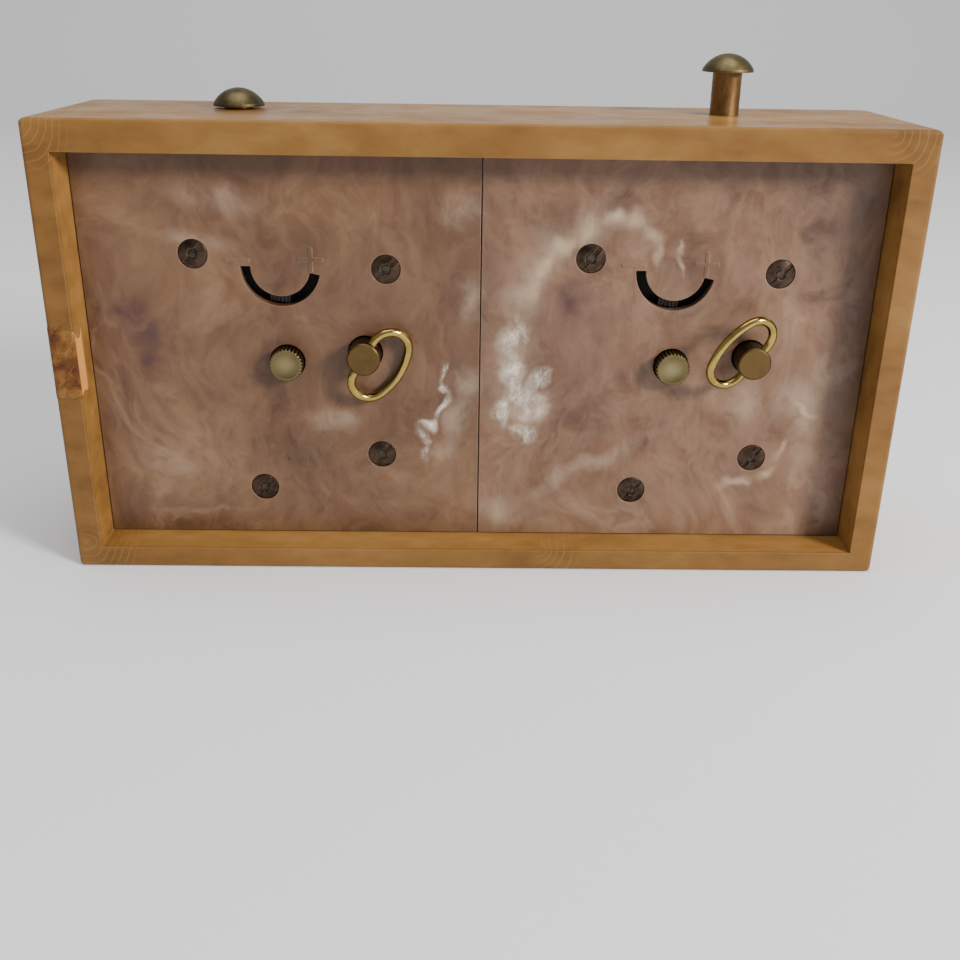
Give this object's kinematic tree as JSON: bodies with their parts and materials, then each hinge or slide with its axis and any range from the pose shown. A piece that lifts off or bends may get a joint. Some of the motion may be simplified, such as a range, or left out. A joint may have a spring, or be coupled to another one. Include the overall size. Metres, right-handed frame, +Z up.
{
  "type": "chess clock",
  "caption": "Double mechanical chess clock in a moulded case, with a rocker worked by two plungers, and winding keys, setting knobs and speed regulators on its back panels.",
  "frame": {"origin": "centre of the case's bottom face", "axes": "+Z up, the dials face -Y, the winding keys and knobs are on the +Y side, +X towards the clock on the right as seen from the dials"},
  "size_m": [0.201, 0.0554, 0.1223],
  "materials": {
    "case": "semi-gloss butterscotch cast phenolic, faintly marbled",
    "marbled_panel": "satin pink-brown marbled moulding",
    "brass": "aged brass",
    "bow_brass": "polished brass wire",
    "plunger_brass": "dull brown brass",
    "knob_brass": "pale nickel brass",
    "key_brass": "brown tarnished brass",
    "dark_steel": "blackened steel, worn bright at the edges",
    "steel": "bright steel",
    "spring_steel": "blued spring steel",
    "bezel_brass": "polished brass",
    "glass": "clear domed glass",
    "dial": "satin cream paint with black figures",
    "hand_black": "black paint",
    "flag_red": "red paint"
  },
  "bodies": {
    "case": {"case": "case", "left_back_panel": "marbled_panel", "right_back_panel": "marbled_panel", "panel_nuts": "dark_steel", "pillars": "brass", "plate_fasteners": "steel", "rocker_bracket": "steel", "mainsprings": "spring_steel", "hairsprings": "spring_steel", "left_bezel": "bezel_brass", "right_bezel": "bezel_brass", "left_glass": "glass", "right_glass": "glass", "left_dial": "dial", "right_dial": "dial", "left_front_plate": "brass", "right_front_plate": "brass", "left_back_plate": "brass", "right_back_plate": "brass"},
    "rocker": {"rocker": "brass"},
    "left_plunger": {"left_plunger": "plunger_brass"},
    "right_plunger": {"right_plunger": "plunger_brass"},
    "left_hands": {"left_centre_arbor": "steel", "left_setting_knob": "knob_brass", "left_minute_hand": "hand_black"},
    "left_minute_wheel": {"left_minute_wheel": "brass"},
    "left_hour_hand": {"left_hour_wheel": "brass", "left_hour_hand": "hand_black"},
    "left_great_wheel": {"left_great_wheel": "brass"},
    "left_key": {"left_winding_arbor": "steel", "left_key_stem": "key_brass"},
    "left_bow": {"left_key_bow": "bow_brass"},
    "left_click": {"left_click": "steel"},
    "left_centre_wheel": {"left_centre_wheel": "brass"},
    "left_third_wheel": {"left_third_wheel": "brass"},
    "left_fourth_wheel": {"left_fourth_wheel": "brass"},
    "left_escape_wheel": {"left_escape_wheel": "brass"},
    "left_pallet_lever": {"left_pallet_lever": "steel"},
    "left_balance": {"left_balance_wheel": "brass"},
    "left_regulator": {"left_regulator": "steel"},
    "left_flag": {"left_flag": "flag_red"},
    "right_hands": {"right_centre_arbor": "steel", "right_setting_knob": "knob_brass", "right_minute_hand": "hand_black"},
    "right_minute_wheel": {"right_minute_wheel": "brass"},
    "right_hour_hand": {"right_hour_wheel": "brass", "right_hour_hand": "hand_black"},
    "right_great_wheel": {"right_great_wheel": "brass"},
    "right_key": {"right_winding_arbor": "steel", "right_key_stem": "key_brass"},
    "right_bow": {"right_key_bow": "bow_brass"},
    "right_click": {"right_click": "steel"},
    "right_centre_wheel": {"right_centre_wheel": "brass"},
    "right_third_wheel": {"right_third_wheel": "brass"},
    "right_fourth_wheel": {"right_fourth_wheel": "brass"},
    "right_escape_wheel": {"right_escape_wheel": "brass"},
    "right_pallet_lever": {"right_pallet_lever": "steel"},
    "right_balance": {"right_balance_wheel": "brass"},
    "right_regulator": {"right_regulator": "steel"},
    "right_flag": {"right_flag": "flag_red"}
  },
  "joints": [
    {"name": "rocker_swing", "type": "hinge", "parent": "case", "child": "rocker", "pos_m": [0, -0.0045, 0.0926], "axis": [0, -1, 0], "range_deg": [0, 9.07]},
    {"name": "right_plunger_travel", "type": "slide", "parent": "case", "child": "right_plunger", "axis": [0, 0, 1], "range_m": [0, 0.0092]},
    {"name": "left_plunger_travel", "type": "slide", "parent": "case", "child": "left_plunger", "axis": [0, 0, 1], "range_m": [-0.0092, 0]},
    {"name": "left_hand_setting", "type": "hinge", "parent": "case", "child": "left_hands", "pos_m": [-0.0466, 0, 0.05165], "axis": [0, 1, 0], "continuous": true},
    {"name": "left_minute_wheel_turn", "type": "hinge", "parent": "case", "child": "left_minute_wheel", "pos_m": [-0.04081, 0, 0.04476], "axis": [0, 1, 0], "continuous": true},
    {"name": "left_hour_hand_turn", "type": "hinge", "parent": "case", "child": "left_hour_hand", "pos_m": [-0.0466, 0, 0.05165], "axis": [0, 1, 0], "continuous": true},
    {"name": "left_fourth_wheel_turn", "type": "hinge", "parent": "case", "child": "left_fourth_wheel", "pos_m": [-0.03518, 0, 0.06042], "axis": [0, 1, 0], "continuous": true},
    {"name": "left_third_wheel_turn", "type": "hinge", "parent": "case", "child": "left_third_wheel", "pos_m": [-0.03321, 0, 0.04925], "axis": [0, 1, 0], "continuous": true},
    {"name": "left_centre_wheel_turn", "type": "hinge", "parent": "case", "child": "left_centre_wheel", "pos_m": [-0.0466, 0, 0.05165], "axis": [0, 1, 0], "continuous": true},
    {"name": "left_great_wheel_turn", "type": "hinge", "parent": "case", "child": "left_great_wheel", "pos_m": [-0.0655, 0, 0.05415], "axis": [0, 1, 0], "continuous": true},
    {"name": "left_escape_wheel_turn", "type": "hinge", "parent": "case", "child": "left_escape_wheel", "pos_m": [-0.03629, 0, 0.07092], "axis": [0, 1, 0], "continuous": true},
    {"name": "left_winding", "type": "hinge", "parent": "left_great_wheel", "child": "left_key", "pos_m": [-0.0655, 0, 0.05415], "axis": [0, 1, 0], "range_deg": [0, 1890]},
    {"name": "left_bow_swing", "type": "hinge", "parent": "left_key", "child": "left_bow", "pos_m": [-0.0655, 0.0205, 0.05415], "axis": [-0.6129, 0, 0.7902], "range_deg": [-39, 179]},
    {"name": "left_click_lift", "type": "hinge", "parent": "left_great_wheel", "child": "left_click", "pos_m": [-0.07381, 0, 0.05895], "axis": [0, -1, 0], "range_deg": [0, 12]},
    {"name": "left_pallet_rock", "type": "hinge", "parent": "case", "child": "left_pallet_lever", "pos_m": [-0.0415, 0, 0.07298], "axis": [0, 1, 0], "range_deg": [-4, 4]},
    {"name": "left_balance_swing", "type": "hinge", "parent": "case", "child": "left_balance", "pos_m": [-0.046, 0, 0.07475], "axis": [0, 1, 0], "range_deg": [-150, 150], "stiffness_Nm_per_rad": 0.00002},
    {"name": "left_regulator_turn", "type": "hinge", "parent": "case", "child": "left_regulator", "pos_m": [-0.046, 0, 0.07475], "axis": [0, 1, 0], "range_deg": [-65, 65]},
    {"name": "left_flag_lift", "type": "hinge", "parent": "case", "child": "left_flag", "pos_m": [-0.0492, 0, 0.08365], "axis": [0, -1, 0], "range_deg": [0, 75]},
    {"name": "right_hand_setting", "type": "hinge", "parent": "case", "child": "right_hands", "pos_m": [0.0466, 0, 0.05165], "axis": [0, 1, 0], "continuous": true},
    {"name": "right_minute_wheel_turn", "type": "hinge", "parent": "case", "child": "right_minute_wheel", "pos_m": [0.05239, 0, 0.04476], "axis": [0, 1, 0], "continuous": true},
    {"name": "right_hour_hand_turn", "type": "hinge", "parent": "case", "child": "right_hour_hand", "pos_m": [0.0466, 0, 0.05165], "axis": [0, 1, 0], "continuous": true},
    {"name": "right_fourth_wheel_turn", "type": "hinge", "parent": "case", "child": "right_fourth_wheel", "pos_m": [0.05802, 0, 0.06042], "axis": [0, 1, 0], "continuous": true},
    {"name": "right_third_wheel_turn", "type": "hinge", "parent": "case", "child": "right_third_wheel", "pos_m": [0.05999, 0, 0.04925], "axis": [0, 1, 0], "continuous": true},
    {"name": "right_centre_wheel_turn", "type": "hinge", "parent": "case", "child": "right_centre_wheel", "pos_m": [0.0466, 0, 0.05165], "axis": [0, 1, 0], "continuous": true},
    {"name": "right_great_wheel_turn", "type": "hinge", "parent": "case", "child": "right_great_wheel", "pos_m": [0.0277, 0, 0.05415], "axis": [0, 1, 0], "continuous": true},
    {"name": "right_escape_wheel_turn", "type": "hinge", "parent": "case", "child": "right_escape_wheel", "pos_m": [0.05691, 0, 0.07092], "axis": [0, 1, 0], "continuous": true},
    {"name": "right_winding", "type": "hinge", "parent": "right_great_wheel", "child": "right_key", "pos_m": [0.0277, 0, 0.05415], "axis": [0, 1, 0], "range_deg": [0, 1890]},
    {"name": "right_bow_swing", "type": "hinge", "parent": "right_key", "child": "right_bow", "pos_m": [0.0277, 0.0205, 0.05415], "axis": [0.5299, 0, -0.848], "range_deg": [-0.5, 217.5]},
    {"name": "right_click_lift", "type": "hinge", "parent": "right_great_wheel", "child": "right_click", "pos_m": [0.01939, 0, 0.05895], "axis": [0, -1, 0], "range_deg": [0, 12]},
    {"name": "right_pallet_rock", "type": "hinge", "parent": "case", "child": "right_pallet_lever", "pos_m": [0.0517, 0, 0.07298], "axis": [0, 1, 0], "range_deg": [-4, 4]},
    {"name": "right_balance_swing", "type": "hinge", "parent": "case", "child": "right_balance", "pos_m": [0.0472, 0, 0.07475], "axis": [0, 1, 0], "range_deg": [-150, 150], "stiffness_Nm_per_rad": 0.00002},
    {"name": "right_regulator_turn", "type": "hinge", "parent": "case", "child": "right_regulator", "pos_m": [0.0472, 0, 0.07475], "axis": [0, 1, 0], "range_deg": [-65, 65]},
    {"name": "right_flag_lift", "type": "hinge", "parent": "case", "child": "right_flag", "pos_m": [0.044, 0, 0.08365], "axis": [0, -1, 0], "range_deg": [0, 75]}
  ],
  "couplings": [
    {"joint": "right_plunger_travel", "follows": "rocker_swing", "m_per_rad": 0.058139},
    {"joint": "left_plunger_travel", "follows": "rocker_swing", "m_per_rad": -0.058139},
    {"joint": "left_minute_wheel_turn", "follows": "left_hand_setting", "ratio": -0.33333},
    {"joint": "left_hour_hand_turn", "follows": "left_hand_setting", "ratio": 0.083333},
    {"joint": "left_third_wheel_turn", "follows": "left_fourth_wheel_turn", "ratio": -0.125},
    {"joint": "left_centre_wheel_turn", "follows": "left_fourth_wheel_turn", "ratio": 0.016667},
    {"joint": "left_great_wheel_turn", "follows": "left_fourth_wheel_turn", "ratio": -0.0027778},
    {"joint": "left_escape_wheel_turn", "follows": "left_fourth_wheel_turn", "ratio": -10},
    {"joint": "right_minute_wheel_turn", "follows": "right_hand_setting", "ratio": -0.33333},
    {"joint": "right_hour_hand_turn", "follows": "right_hand_setting", "ratio": 0.083333},
    {"joint": "right_third_wheel_turn", "follows": "right_fourth_wheel_turn", "ratio": -0.125},
    {"joint": "right_centre_wheel_turn", "follows": "right_fourth_wheel_turn", "ratio": 0.016667},
    {"joint": "right_great_wheel_turn", "follows": "right_fourth_wheel_turn", "ratio": -0.0027778},
    {"joint": "right_escape_wheel_turn", "follows": "right_fourth_wheel_turn", "ratio": -10}
  ]
}
